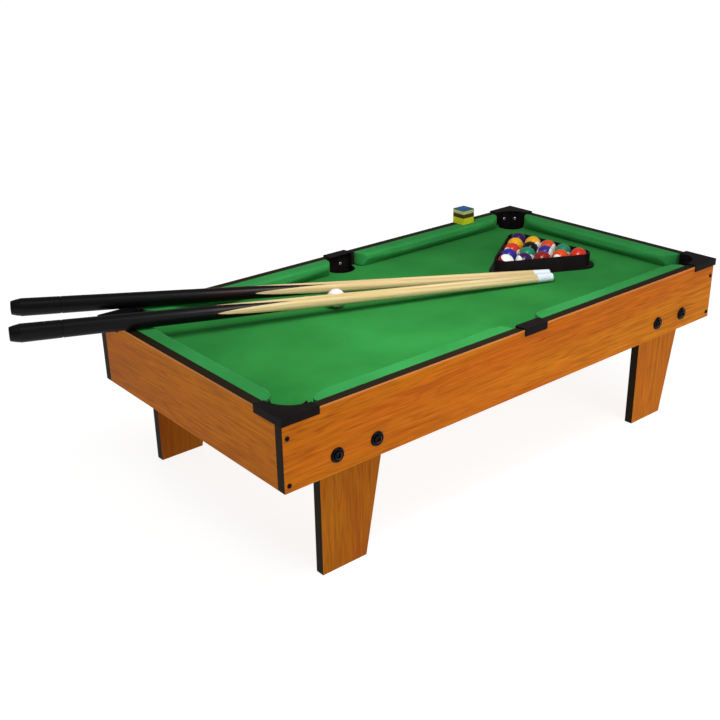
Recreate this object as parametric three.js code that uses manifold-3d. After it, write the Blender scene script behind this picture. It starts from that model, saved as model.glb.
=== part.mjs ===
// Mini pool table with its playing set. Millimetres, +X along the table, +Z up.
// The table is laid out about its own centre, with the floor at z = 0.
// The last lines move the whole set so that the origin is the middle of its box, on the floor.

import * as THREE from 'three';
import { mergeVertices } from 'three/addons/utils/BufferGeometryUtils.js';
import Module from 'manifold-3d';

const wasm = await Module();
wasm.setup();

// ---------------------------------------------------------------- driving dimensions

const TABLE_LENGTH = 770;
const TABLE_WIDTH = 396;
const TABLE_HEIGHT = 220;
const APRON_HEIGHT = 87;
const BOARD = 12;                  // thickness of the side boards, end boards and legs
const GAP = 0.3;                   // clearance between pieces that touch

const BED_DROP = 20;               // bed surface below the board tops
const BED_THICKNESS = 6;
const BATTEN = 18;                 // square section of the bed battens
const BATTEN_X = 130;

const CUSHION_WIDTH = 24;          // board face to nose
const NOSE_ROUND = 3;              // radius between the level top and the nose
const NOSE_DROP = 7.5;             // board tops to the start of the undercut
const CUSHION_FOOT = 15.5;         // width where it meets the bed
const LONG_CORNER_GAP = 42;        // inner corner to the start of a long side's cushion
const END_CORNER_GAP = 37;         // inner corner to the start of an end cushion
const CORNER_SWEEP = 35;           // length over which a corner end rounds to the nose
const SIDE_GAP = 26;               // middle of a long side to the start of a cushion
const SIDE_SWEEP = 21;

const PLATE = 1.5;                 // wall thickness of the pocket mouldings
const PLATE_ARM = 48;              // corner plate length along each board
const CORNER_FILLET = 36;
const CORNER_LIP_DROP = 7.7;
const POCKET_RADIUS = 21;          // outside of a corner cup at the bed
const CUP_BOTTOM_RADIUS = 18;
const CUP_DEPTH = 44;              // bed surface to the underside of a cup
const CORNER_WALL_ANGLE = 82;      // half angle of the wall above the bed, degrees
const SIDE_RADIUS = 22;
const SIDE_REACH = 23;             // board face to the far side of a side cup
const SIDE_NOTCH = 7;              // depth of the notch in a long board
const SIDE_PLATE_WIDTH = 40;
const SIDE_PLATE_DEPTH = 15;
const SIDE_LIP_DROP = 8.5;
const SIDE_WALL_RETURN = 2;        // how far the side liner's wall comes out past the board

const LEG_INSET = 55;              // outer end of the table to the square edge of a left leg
const LEG_WIDTH = 90;
const FOOT_WIDTH = 64.5;
const RIGHT_LEG_X = 238;           // square edge of a right leg
const BOLT_X = 286.4;
const BOLT_SPACING = 56.4;
const BOLT_DROP = 65;
const BOLT_RADIUS = 3;
const WASHER_RADIUS = 9;
const WASHER_BEVEL = 1.5;
const WASHER_HEIGHT = 2.2;
const BOLT_HEAD_RADIUS = 5.4;
const BOLT_HEAD_HEIGHT = 3.6;
const BOLT_LENGTH = 31;

const SCREW_RADIUS = 1.6;
const SCREW_HEAD_RADIUS = 2.8;
const SCREW_HEAD_BEVEL = 0.8;
const SCREW_HEAD_HEIGHT = 1.3;
const SCREW_POINT = 4;
const SCREW_LENGTH = 34;
const SCREW_DROPS = [23, 78.5];

const BALL_RADIUS = 13;
const BALL_PITCH = 28.6;
const BALL_ROWS = 5;
const RACK_CORNER = new THREE.Vector2(266, 71.5);    // middle of the far corner ball
const RACK_TURN = -87.1;                             // direction of the back row, degrees
const RACK_WALL = 3;
const RACK_FLANGE = 7;
const RACK_HEIGHT = 20;
const RACK_FLANGE_HEIGHT = 2;
const RACK_SLACK = 0.9;              // corner balls to the walls
const CUE_BALL = new THREE.Vector2(-107.5, 60.3);

const CHALK = 24;
const CHALK_AT = new THREE.Vector2(258, 184);

const CUE_LENGTH = 740;
const CUE_TIP_RADIUS = 6.2;
const CUE_TIP_ROUND = 0.9;
const FERRULE = 20;
const SHAFT_LENGTH = 300;          // slim part, before the butt's steeper taper
const SHAFT_RADIUS = 7.6;
const CUE_BUTT_RADIUS = 11.5;
const BUMPER_LENGTH = 12;
const BUMPER_END_RADIUS = 8.9;
const BUMPER_ROUND = 1.6;
const FRONT_CUE = { tip: [187, -66], rest: [-352, 118.5] };
const REAR_CUE = { tip: [196, -53.2], rest: [-282.7, 165] };

// ---------------------------------------------------------------- derived levels

const HALF_LENGTH = TABLE_LENGTH / 2;
const HALF_WIDTH = TABLE_WIDTH / 2;
const INNER_X = HALF_LENGTH - BOARD;
const INNER_Y = HALF_WIDTH - BOARD;
const APRON_BOTTOM = TABLE_HEIGHT - APRON_HEIGHT;
const BED_TOP = TABLE_HEIGHT - BED_DROP;
const BED_BOTTOM = BED_TOP - BED_THICKNESS;
const CUP_BOTTOM = BED_TOP - CUP_DEPTH;
const PLATE_BOTTOM = TABLE_HEIGHT + GAP;
const PLATE_TOP = PLATE_BOTTOM + PLATE;
const LIP = PLATE + GAP;           // how far a lip stands out from a board
const CUT = 1;                     // how far a cutting solid runs past the face that it cuts

// ---------------------------------------------------------------- finishes

const finish = (color, roughness, metalness = 0) =>
  new THREE.MeshStandardMaterial({ color, roughness, metalness });

const CHERRY = finish('#c06a20', 0.42);
const FELT = finish('#2e7a34', 0.95);
const BLACK_PLASTIC = finish('#17141a', 0.38);
const BLACK_METAL = finish('#141416', 0.35, 0.8);
const BARE_WOOD = finish('#b58a55', 0.7);
const MAPLE = finish('#dcbf80', 0.4);
const CHALK_BLUE = finish('#2f74a8', 0.9);
const WHITE_BALL = finish('#ecebe4', 0.12);

const YELLOW = '#f0b024';
const BLUE = '#2a2a98';
const RED = '#d83320';
const PURPLE = '#3b1a5c';
const ORANGE = '#ec5a2a';
const GREEN = '#1f8a62';
const MAROON = '#9c1a1e';
const BLACK = '#151515';

// Rows run from the back of the rack to its apex, along each file of balls.
const RACK_FILES = [
  [PURPLE, YELLOW, RED, BLUE, MAROON],
  [YELLOW, BLACK, GREEN, PURPLE],
  [ORANGE, BLUE, MAROON],
  [GREEN, ORANGE],
  [RED],
];

// ---------------------------------------------------------------- making and cutting solids

function solidOf(geometry) {
  const bare = geometry.clone();
  bare.deleteAttribute('normal');
  bare.deleteAttribute('uv');
  const merged = mergeVertices(bare, 1e-4);
  return new wasm.Manifold(new wasm.Mesh({
    numProp: 3,
    vertProperties: new Float32Array(merged.attributes.position.array),
    triVerts: new Uint32Array(merged.index.array),
  }));
}

function geometryOf(solid) {
  const mesh = solid.getMesh();
  const indexed = new THREE.BufferGeometry();
  indexed.setAttribute('position', new THREE.BufferAttribute(mesh.vertProperties, 3));
  indexed.setIndex(new THREE.BufferAttribute(mesh.triVerts, 1));
  const flat = indexed.toNonIndexed();
  flat.computeVertexNormals();
  return flat;
}

function block([x0, x1], [y0, y1], [z0, z1]) {
  const geometry = new THREE.BoxGeometry(x1 - x0, y1 - y0, z1 - z0);
  return solidOf(geometry.translate((x0 + x1) / 2, (y0 + y1) / 2, (z0 + z1) / 2));
}

function column(shape, z0, z1, curveSegments = 8) {
  const geometry = new THREE.ExtrudeGeometry(shape, {
    depth: z1 - z0,
    bevelEnabled: false,
    curveSegments,
  });
  return solidOf(geometry.translate(0, 0, z0));
}

// A round bar along Y.
function barAlongY(radius, y0, y1, x, z, segments = 12) {
  const geometry = new THREE.CylinderGeometry(radius, radius, y1 - y0, segments);
  return solidOf(geometry.translate(x, (y0 + y1) / 2, z));
}

// A turned solid about +Z from [radius, z] pairs.
function turned(profile, segments) {
  const points = profile.map(([radius, z]) => new THREE.Vector2(radius, z));
  return new THREE.LatheGeometry(points, segments).rotateX(Math.PI / 2);
}

function polygon(points) {
  return new THREE.Shape(points.map(([x, y]) => new THREE.Vector2(x, y)));
}

// ---------------------------------------------------------------- the scene

const set = new THREE.Group();

function add(name, shape, material, { at = [0, 0, 0], turn = 0 } = {}) {
  const geometry = shape.isBufferGeometry ? shape : geometryOf(shape);
  const mesh = new THREE.Mesh(geometry, material);
  mesh.name = name;
  mesh.position.set(...at);
  mesh.rotation.z = THREE.MathUtils.degToRad(turn);
  set.add(mesh);
  return mesh;
}

const SIDES = [['near', -1], ['far', 1]];
const ENDS = [['left', -1], ['right', 1]];

function boltPlaces(end) {
  return [-1, 1].map((step) => end * BOLT_X + step * BOLT_SPACING / 2);
}

// ---------------------------------------------------------------- boards

function longBoard(side) {
  const outer = side * HALF_WIDTH;
  const inner = side * INNER_Y;
  const span = [Math.min(outer, inner), Math.max(outer, inner)];
  let board = block([-HALF_LENGTH, HALF_LENGTH], span, [APRON_BOTTOM, TABLE_HEIGHT]);
  for (const [, end] of ENDS) {
    for (const x of boltPlaces(end)) {
      board = board.subtract(barAlongY(
        BOLT_RADIUS + GAP, span[0] - CUT, span[1] + CUT, x, TABLE_HEIGHT - BOLT_DROP));
    }
    for (const drop of SCREW_DROPS) {
      board = board.subtract(barAlongY(
        SCREW_RADIUS + GAP, span[0] - CUT, span[1] + CUT,
        end * (HALF_LENGTH - BOARD / 2), TABLE_HEIGHT - drop));
    }
  }
  const notch = [side * (INNER_Y - CUT), side * (INNER_Y + SIDE_NOTCH)].sort((a, b) => a - b);
  const half = SIDE_RADIUS + GAP;
  return board.subtract(block([-half, half], notch, [CUP_BOTTOM - GAP, TABLE_HEIGHT + CUT]));
}

function endBoard(end) {
  const span = [end * HALF_LENGTH, end * INNER_X].sort((a, b) => a - b);
  const reach = INNER_Y - GAP;
  let board = block(span, [-reach, reach], [APRON_BOTTOM, TABLE_HEIGHT]);
  for (const [, side] of SIDES) {
    for (const drop of SCREW_DROPS) {
      const hole = [side * (reach + CUT), side * (HALF_WIDTH - SCREW_LENGTH - CUT)].sort((a, b) => a - b);
      board = board.subtract(barAlongY(
        SCREW_RADIUS + GAP, hole[0], hole[1], end * (HALF_LENGTH - BOARD / 2), TABLE_HEIGHT - drop));
    }
  }
  return board;
}

// ---------------------------------------------------------------- bed

function bed() {
  const x = INNER_X - GAP;
  const y = INNER_Y - GAP;
  const level = [BED_BOTTOM - CUT, BED_TOP + CUT];
  const centre = POCKET_RADIUS + GAP;
  let panel = block([-x, x], [-y, y], [BED_BOTTOM, BED_TOP]);
  for (const [, side] of SIDES) {
    for (const [, end] of ENDS) {
      const hole = new THREE.Shape();
      hole.absarc(end * (INNER_X - centre), side * (INNER_Y - centre), centre, 0, 2 * Math.PI);
      const xs = [end * (INNER_X - centre), end * (INNER_X + CUT)].sort((a, b) => a - b);
      const ys = [side * (INNER_Y - centre), side * (INNER_Y + CUT)].sort((a, b) => a - b);
      panel = panel.subtract(column(hole, ...level, 12)).subtract(block(xs, ys, level));
    }
    const sideHole = new THREE.Shape();
    sideHole.absarc(0, side * (INNER_Y + SIDE_RADIUS - SIDE_REACH), SIDE_RADIUS + GAP, 0, 2 * Math.PI);
    panel = panel.subtract(column(sideHole, ...level, 12));
  }
  return panel;
}

// ---------------------------------------------------------------- cushions

// The section runs along X; y is the distance from the board's face.
function cushionBar(start, end) {
  const section = new THREE.Shape();
  section.moveTo(GAP, -BED_DROP + GAP);
  section.lineTo(GAP, 0);
  section.lineTo(CUSHION_WIDTH - NOSE_ROUND, 0);
  section.absarc(CUSHION_WIDTH - NOSE_ROUND, -NOSE_ROUND, NOSE_ROUND, Math.PI / 2, 0, true);
  section.lineTo(CUSHION_WIDTH, -NOSE_DROP);
  section.lineTo(CUSHION_FOOT, -BED_DROP + GAP);
  const geometry = new THREE.ExtrudeGeometry(section, {
    depth: end - start,
    bevelEnabled: false,
    curveSegments: 6,
  });
  // section x, y and depth become y, z and x
  const turn = new THREE.Matrix4().makeBasis(
    new THREE.Vector3(0, 1, 0), new THREE.Vector3(0, 0, 1), new THREE.Vector3(1, 0, 0));
  return solidOf(geometry.applyMatrix4(turn).translate(start, 0, TABLE_HEIGHT));
}

// Both ends round from the board's face to the nose, each over its own sweep.
function cushion(start, startSweep, end, endSweep) {
  const plan = new THREE.Shape();
  plan.moveTo(start, 0);
  plan.absellipse(start + startSweep, 0, startSweep, CUSHION_WIDTH + CUT, Math.PI, Math.PI / 2, true);
  plan.absellipse(end - endSweep, 0, endSweep, CUSHION_WIDTH + CUT, Math.PI / 2, 0, true);
  return cushionBar(start, end).intersect(column(plan, BED_TOP, TABLE_HEIGHT + CUT, 6));
}

// ---------------------------------------------------------------- pocket mouldings

// Corner moulding, laid out from the table's outer corner with the table towards +X +Y.
function cornerPocket() {
  const cup = BOARD + GAP + POCKET_RADIUS;
  const plan = new THREE.Shape();
  plan.moveTo(-LIP, -LIP);
  plan.lineTo(PLATE_ARM, -LIP);
  plan.lineTo(PLATE_ARM, BOARD);
  plan.lineTo(BOARD + CORNER_FILLET, BOARD);
  plan.absarc(BOARD + CORNER_FILLET, BOARD + CORNER_FILLET, CORNER_FILLET, 1.5 * Math.PI, Math.PI, true);
  plan.lineTo(BOARD, PLATE_ARM);
  plan.lineTo(-LIP, PLATE_ARM);
  const lipLevels = [TABLE_HEIGHT - CORNER_LIP_DROP, PLATE_TOP];

  const wallArc = new THREE.Shape();
  const half = THREE.MathUtils.degToRad(CORNER_WALL_ANGLE);
  const towardsCorner = 1.25 * Math.PI;
  wallArc.absarc(cup, cup, POCKET_RADIUS, towardsCorner - half, towardsCorner + half);
  wallArc.absarc(cup, cup, POCKET_RADIUS - PLATE, towardsCorner + half, towardsCorner - half, true);

  const bowl = solidOf(turned([
    [0, CUP_BOTTOM],
    [CUP_BOTTOM_RADIUS, CUP_BOTTOM],
    [POCKET_RADIUS, BED_TOP],
    [POCKET_RADIUS - PLATE, BED_TOP],
    [CUP_BOTTOM_RADIUS - PLATE, CUP_BOTTOM + PLATE],
    [0, CUP_BOTTOM + PLATE],
  ], 24).translate(cup, cup, 0));

  return column(plan, PLATE_BOTTOM, PLATE_TOP, 8)
    .add(block([-LIP, -GAP], [-LIP, PLATE_ARM], lipLevels))
    .add(block([-LIP, PLATE_ARM], [-LIP, -GAP], lipLevels))
    .add(column(wallArc, BED_TOP - CUT, PLATE_TOP, 12))
    .add(bowl);
}

// Side moulding, laid out from the middle of a long side's outer face, table towards +Y.
function sidePocket() {
  const centre = BOARD + SIDE_REACH - SIDE_RADIUS;
  const back = BOARD - SIDE_NOTCH + GAP;
  const half = SIDE_PLATE_WIDTH / 2;
  const disc = (radius) => new THREE.Shape().absarc(0, centre, radius, 0, 2 * Math.PI);
  const far = centre + SIDE_RADIUS + CUT;
  const wide = SIDE_RADIUS + CUT;

  const outside = column(disc(SIDE_RADIUS), CUP_BOTTOM, PLATE_TOP, 12)
    .intersect(block([-wide, wide], [back, far], [CUP_BOTTOM, PLATE_TOP]));
  const inside = column(disc(SIDE_RADIUS - PLATE), CUP_BOTTOM + PLATE, PLATE_TOP + CUT, 12)
    .intersect(block([-wide, wide], [back + PLATE, far], [CUP_BOTTOM, PLATE_TOP + CUT]));
  const playSide = block([-wide, wide], [BOARD + SIDE_WALL_RETURN, far], [BED_TOP, PLATE_TOP + CUT]);

  return outside
    .subtract(inside)
    .subtract(playSide)
    .add(block([-half, half], [-LIP, SIDE_PLATE_DEPTH], [PLATE_BOTTOM, PLATE_TOP]))
    .add(block([-half, half], [-LIP, -GAP], [TABLE_HEIGHT - SIDE_LIP_DROP, PLATE_TOP]));
}

// ---------------------------------------------------------------- legs and their fixings

// Every leg has its square edge on the left; the right edge tapers below the apron.
function leg(squareEdge, side, end) {
  const top = BED_BOTTOM - GAP;
  const outline = polygon([
    [squareEdge, 0],
    [squareEdge + FOOT_WIDTH, 0],
    [squareEdge + LEG_WIDTH, APRON_BOTTOM],
    [squareEdge + LEG_WIDTH, top],
    [squareEdge, top],
  ]);
  const outer = side * (INNER_Y - GAP);
  const y = Math.min(outer, outer - side * BOARD);
  // outline y becomes z, and depth runs along +Y
  let panel = solidOf(new THREE.ExtrudeGeometry(outline, { depth: BOARD, bevelEnabled: false })
    .rotateX(Math.PI / 2)
    .translate(0, y + BOARD, 0));
  for (const x of boltPlaces(end)) {
    panel = panel.subtract(barAlongY(
      BOLT_RADIUS + GAP, y - CUT, y + BOARD + CUT, x, TABLE_HEIGHT - BOLT_DROP));
  }
  return panel;
}

// Turned with its head up; the washer's underside is at z = 0.
function legBolt() {
  return turned([
    [0, -BOLT_LENGTH],
    [BOLT_RADIUS, -BOLT_LENGTH],
    [BOLT_RADIUS, 0],
    [WASHER_RADIUS, 0],
    [WASHER_RADIUS - WASHER_BEVEL, WASHER_HEIGHT],
    [BOLT_HEAD_RADIUS, WASHER_HEIGHT],
    [BOLT_HEAD_RADIUS, BOLT_HEAD_HEIGHT],
    [0, BOLT_HEAD_HEIGHT],
  ], 14);
}

function cornerScrew() {
  return turned([
    [0, -SCREW_LENGTH],
    [SCREW_RADIUS, -SCREW_LENGTH + SCREW_POINT],
    [SCREW_RADIUS, 0],
    [SCREW_HEAD_RADIUS, 0],
    [SCREW_HEAD_RADIUS - SCREW_HEAD_BEVEL, SCREW_HEAD_HEIGHT],
    [0, SCREW_HEAD_HEIGHT],
  ], 10);
}

function addFastener(name, geometry, x, side, drop) {
  const mesh = add(name, geometry, BLACK_METAL, {
    at: [x, side * (HALF_WIDTH + GAP), TABLE_HEIGHT - drop],
  });
  mesh.rotation.set(-side * Math.PI / 2, 0, 0);
}

// ---------------------------------------------------------------- playing set

// Outline at a fixed distance round an equilateral triangle, with a flat across each corner.
function bluntTriangle(corners, distance) {
  const reach = distance / Math.cos(Math.PI / 6);
  return polygon(corners.flatMap((corner, i) => {
    const next = corners[(i + 1) % 3];
    const along = Math.atan2(next.y - corner.y, next.x - corner.x);
    return [along - Math.PI, along - Math.PI * 2 / 3].map((angle) => [
      corner.x + reach * Math.cos(angle),
      corner.y + reach * Math.sin(angle),
    ]);
  }));
}

function ringOf(corners, outside, inside, z0, z1) {
  return column(bluntTriangle(corners, outside), z0, z1)
    .subtract(column(bluntTriangle(corners, inside), z0 - CUT, z1 + CUT));
}

const backRow = new THREE.Vector2(BALL_PITCH, 0).rotateAround(
  new THREE.Vector2(), THREE.MathUtils.degToRad(RACK_TURN));
const towardsApex = new THREE.Vector2(BALL_PITCH, 0).rotateAround(
  new THREE.Vector2(), THREE.MathUtils.degToRad(RACK_TURN - 60));

function ballPlace(file, row) {
  return RACK_CORNER.clone().addScaledVector(backRow, file).addScaledVector(towardsApex, row);
}

function rack() {
  const last = BALL_ROWS - 1;
  // counter-clockwise seen from above
  const corners = [ballPlace(0, 0), ballPlace(0, last), ballPlace(last, 0)];
  const inside = BALL_RADIUS + RACK_SLACK;
  const z = BED_TOP + GAP;
  return ringOf(corners, inside + RACK_WALL, inside, z, z + RACK_HEIGHT)
    .add(ringOf(corners, inside + RACK_WALL + RACK_FLANGE, inside, z, z + RACK_FLANGE_HEIGHT));
}

function ball() {
  return new THREE.IcosahedronGeometry(BALL_RADIUS, 2);
}

// Turned along +Z from the tip to the bumper.
function cue() {
  return turned([
    [0, 0],
    [CUE_TIP_RADIUS - CUE_TIP_ROUND, 0],
    [CUE_TIP_RADIUS, FERRULE],
    [SHAFT_RADIUS, SHAFT_LENGTH],
    [CUE_BUTT_RADIUS, CUE_LENGTH - BUMPER_LENGTH],
    [BUMPER_END_RADIUS, CUE_LENGTH - BUMPER_ROUND],
    [BUMPER_END_RADIUS - BUMPER_ROUND, CUE_LENGTH],
    [0, CUE_LENGTH],
  ], 16);
}

function cueRadiusAt(distance) {
  const butt = (distance - SHAFT_LENGTH) / (CUE_LENGTH - SHAFT_LENGTH);
  return butt > 0
    ? THREE.MathUtils.lerp(SHAFT_RADIUS, CUE_BUTT_RADIUS, butt)
    : THREE.MathUtils.lerp(CUE_TIP_RADIUS, SHAFT_RADIUS, distance / SHAFT_LENGTH);
}

// A cue touches the bed with its tip and lies on a cushion's nose at its rest point.
function addCue(name, { tip, rest }) {
  const span = Math.hypot(rest[0] - tip[0], rest[1] - tip[1]);
  const low = new THREE.Vector3(...tip, BED_TOP + CUE_TIP_RADIUS + GAP);
  const high = new THREE.Vector3(...rest, TABLE_HEIGHT + cueRadiusAt(span) + GAP);
  const mesh = add(name, cue(), MAPLE);
  mesh.position.copy(low);
  mesh.quaternion.setFromUnitVectors(
    new THREE.Vector3(0, 0, 1), high.clone().sub(low).normalize());
}

// ---------------------------------------------------------------- assembly

for (const [sideName, side] of SIDES) {
  add(`${sideName}_side_board`, longBoard(side), CHERRY);
}
for (const [endName, end] of ENDS) {
  add(`${endName}_end_board`, endBoard(end), CHERRY);
}
add('playing_bed', bed(), FELT);
for (const [endName, end] of ENDS) {
  const reach = INNER_Y - GAP;
  const top = BED_BOTTOM - GAP;
  add(`${endName}_bed_batten`,
    block([end * BATTEN_X - BATTEN / 2, end * BATTEN_X + BATTEN / 2], [-reach, reach], [top - BATTEN, top]),
    BARE_WOOD);
}

// The long cushions are laid out for the near side; the far side is turned half round.
const longStart = INNER_X - LONG_CORNER_GAP;
for (const [sideName, turn, sign] of [['near', 0, 1], ['far', 180, -1]]) {
  const at = [0, -sign * INNER_Y, 0];
  const names = sign > 0 ? ['left', 'right'] : ['right', 'left'];
  add(`${sideName}_${names[0]}_cushion`,
    cushion(-longStart, CORNER_SWEEP, -SIDE_GAP, SIDE_SWEEP), FELT, { at, turn });
  add(`${sideName}_${names[1]}_cushion`,
    cushion(SIDE_GAP, SIDE_SWEEP, longStart, CORNER_SWEEP), FELT, { at, turn });
}
const endStart = INNER_Y - END_CORNER_GAP;
for (const [endName, end] of ENDS) {
  add(`${endName}_end_cushion`, cushion(-endStart, CORNER_SWEEP, endStart, CORNER_SWEEP), FELT,
    { at: [end * INNER_X, 0, 0], turn: end > 0 ? 90 : -90 });
}

const CORNERS = [
  ['near_left', -1, -1, 0],
  ['near_right', 1, -1, 90],
  ['far_right', 1, 1, 180],
  ['far_left', -1, 1, 270],
];
for (const [name, end, side, turn] of CORNERS) {
  add(`${name}_corner_pocket`, cornerPocket(), BLACK_PLASTIC,
    { at: [end * HALF_LENGTH, side * HALF_WIDTH, 0], turn });
}
for (const [sideName, side] of SIDES) {
  add(`${sideName}_side_pocket`, sidePocket(), BLACK_PLASTIC,
    { at: [0, side * HALF_WIDTH, 0], turn: side < 0 ? 0 : 180 });
}

for (const [sideName, side] of SIDES) {
  for (const [endName, end] of ENDS) {
    const squareEdge = end < 0 ? -HALF_LENGTH + LEG_INSET : RIGHT_LEG_X;
    add(`${sideName}_${endName}_leg`, leg(squareEdge, side, end), CHERRY);
    boltPlaces(end).forEach((x, i) => {
      addFastener(`${sideName}_${endName}_leg_bolt_${i + 1}`, legBolt(), x, side, BOLT_DROP);
    });
    SCREW_DROPS.forEach((drop, i) => {
      const x = end * (HALF_LENGTH - BOARD / 2);
      addFastener(`${sideName}_${endName}_corner_screw_${i + 1}`, cornerScrew(), x, side, drop);
    });
  }
}

const ballHeight = BED_TOP + BALL_RADIUS + GAP;
let ballNumber = 0;
RACK_FILES.forEach((file, i) => {
  file.forEach((color, row) => {
    const place = ballPlace(i, row);
    ballNumber += 1;
    add(`ball_${ballNumber}`, ball(), finish(color, 0.12), { at: [place.x, place.y, ballHeight] });
  });
});
add('cue_ball', ball(), WHITE_BALL, { at: [CUE_BALL.x, CUE_BALL.y, ballHeight] });
add('triangle_rack', rack(), BLACK_PLASTIC);
add('chalk_cube', new THREE.BoxGeometry(CHALK, CHALK, CHALK), CHALK_BLUE,
  { at: [CHALK_AT.x, CHALK_AT.y, TABLE_HEIGHT + GAP + CHALK / 2] });
addCue('front_cue', FRONT_CUE);
addCue('rear_cue', REAR_CUE);

// The origin is the middle of the whole set's box, on the floor.
set.updateMatrixWorld(true);
const bounds = new THREE.Box3().setFromObject(set, true);
const middle = bounds.getCenter(new THREE.Vector3());
set.position.set(-middle.x, -middle.y, 0);

export default set;
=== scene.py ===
import math

import bmesh
import bpy
from mathutils import Matrix, Vector


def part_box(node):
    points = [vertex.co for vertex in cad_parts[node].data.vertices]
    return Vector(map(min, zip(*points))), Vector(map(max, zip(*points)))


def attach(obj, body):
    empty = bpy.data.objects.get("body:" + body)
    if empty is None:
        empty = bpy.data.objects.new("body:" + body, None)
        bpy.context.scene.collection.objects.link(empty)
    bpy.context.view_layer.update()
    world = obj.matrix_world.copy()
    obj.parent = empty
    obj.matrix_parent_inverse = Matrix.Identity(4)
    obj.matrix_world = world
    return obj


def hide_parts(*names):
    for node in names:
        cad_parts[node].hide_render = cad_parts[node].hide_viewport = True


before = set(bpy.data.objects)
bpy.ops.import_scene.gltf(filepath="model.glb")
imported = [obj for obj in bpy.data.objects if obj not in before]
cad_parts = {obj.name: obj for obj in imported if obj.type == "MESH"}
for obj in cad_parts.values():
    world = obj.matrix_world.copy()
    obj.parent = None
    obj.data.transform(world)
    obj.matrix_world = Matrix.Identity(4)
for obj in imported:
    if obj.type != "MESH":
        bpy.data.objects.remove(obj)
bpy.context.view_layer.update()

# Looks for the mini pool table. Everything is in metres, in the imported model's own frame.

MM = 0.001
SIDES = (("near", -1), ("far", 1))
ENDS = (("left", -1), ("right", 1))

# ---------------------------------------------------------------- where things are

near_low, near_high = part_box("near_side_board")
_, far_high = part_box("far_side_board")
_, bed_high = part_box("playing_bed")
CENTRE = Vector(((near_low.x + near_high.x) / 2, (near_low.y + far_high.y) / 2, 0))
TOP = near_high.z            # the boards' top edges
BED = bed_high.z
HALF_LENGTH = (near_high.x - near_low.x) / 2
HALF_WIDTH = (far_high.y - near_low.y) / 2
BOARD = near_high.y - near_low.y
INNER_X = HALF_LENGTH - BOARD
INNER_Y = HALF_WIDTH - BOARD

# ---------------------------------------------------------------- camera, light and floor

CAMERA_FROM_CENTRE = Vector((-0.919, -0.9735, 0.6928))
CAMERA_AZIMUTH = 39.47       # degrees from +Y towards +X
CAMERA_ELEVATION = 23.49     # degrees downwards
CAMERA_ROLL = -1.06          # degrees
CAMERA_LENS = 51.92          # in millimetres, like the sensor's width
CAMERA_SENSOR = 36
CAMERA_CLIP = 0.01           # nothing nearer is drawn
WORLD_LIGHT = 0.30           # how strongly the white surroundings light the table
FLOOR_GLOW = 0.86            # the floor's own light, which keeps it white
FLOOR_REACH = 40.0


def add_object(name, data):
    made = bpy.data.objects.new(name, data)
    bpy.context.scene.collection.objects.link(made)
    return made


def look_along(azimuth, elevation, roll=0):
    """A turn that looks along a compass direction and downwards, as a camera does along its -Z."""
    az, el = math.radians(azimuth), math.radians(elevation)
    forward = Vector((math.sin(az) * math.cos(el), math.cos(az) * math.cos(el), -math.sin(el)))
    turn = forward.to_track_quat("-Z", "Y").to_matrix().to_4x4()
    return turn @ Matrix.Rotation(math.radians(roll), 4, "Z")


def make_camera():
    data = bpy.data.cameras.new("camera")
    data.lens = CAMERA_LENS
    data.sensor_width = CAMERA_SENSOR
    data.clip_start = CAMERA_CLIP
    camera = add_object("camera", data)
    place = Matrix.Translation(CENTRE + CAMERA_FROM_CENTRE)
    camera.matrix_world = place @ look_along(CAMERA_AZIMUTH, CAMERA_ELEVATION, CAMERA_ROLL)
    bpy.context.scene.camera = camera


def add_light(name, data, offset):
    """Puts a light at an offset from the table's centre, aimed at the middle of its top."""
    light = add_object(name, data)
    light.location = CENTRE + Vector(offset)
    aim = CENTRE + Vector((0, 0, TOP)) - light.location
    light.rotation_euler = aim.to_track_quat("-Z", "Y").to_euler()


def area_light(name, offset, size, power):
    data = bpy.data.lights.new(name, "AREA")
    data.shape = "DISK"
    data.size = size
    data.energy = power
    add_light(name, data, offset)


def sun_light(name, offset, strength, spread):
    data = bpy.data.lights.new(name, "SUN")
    data.energy = strength
    data.angle = math.radians(spread)
    add_light(name, data, offset)


def make_world():
    """White to the camera, and weaker as a light on the table."""
    world = bpy.data.worlds.new("studio")
    bpy.context.scene.world = world
    world.use_nodes = True
    nodes, links = world.node_tree.nodes, world.node_tree.links
    strength = nodes.new("ShaderNodeMapRange")
    strength.inputs["To Min"].default_value = WORLD_LIGHT
    strength.inputs["To Max"].default_value = 1.0
    links.new(nodes.new("ShaderNodeLightPath").outputs["Is Camera Ray"], strength.inputs["Value"])
    background = nodes["Background"]
    background.inputs["Color"].default_value = (1, 1, 1, 1)
    links.new(strength.outputs["Result"], background.inputs["Strength"])


def make_lights():
    make_world()
    sun_light("broad_top_light", offset=(-0.25, -0.45, 1.6), strength=0.42, spread=30)
    area_light("overhead_light", offset=(-0.13, -0.20, 0.64), size=0.34, power=2.9)
    area_light("front_fill", offset=(0.1, -2.4, 0.7), size=1.6, power=16)
    bpy.context.scene.view_settings.view_transform = "Standard"


# ---------------------------------------------------------------- material graphs

MIX_FACTOR, MIX_A, MIX_B, MIX_RESULT = 0, 6, 7, 2    # the Mix node's sockets for colours


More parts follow.
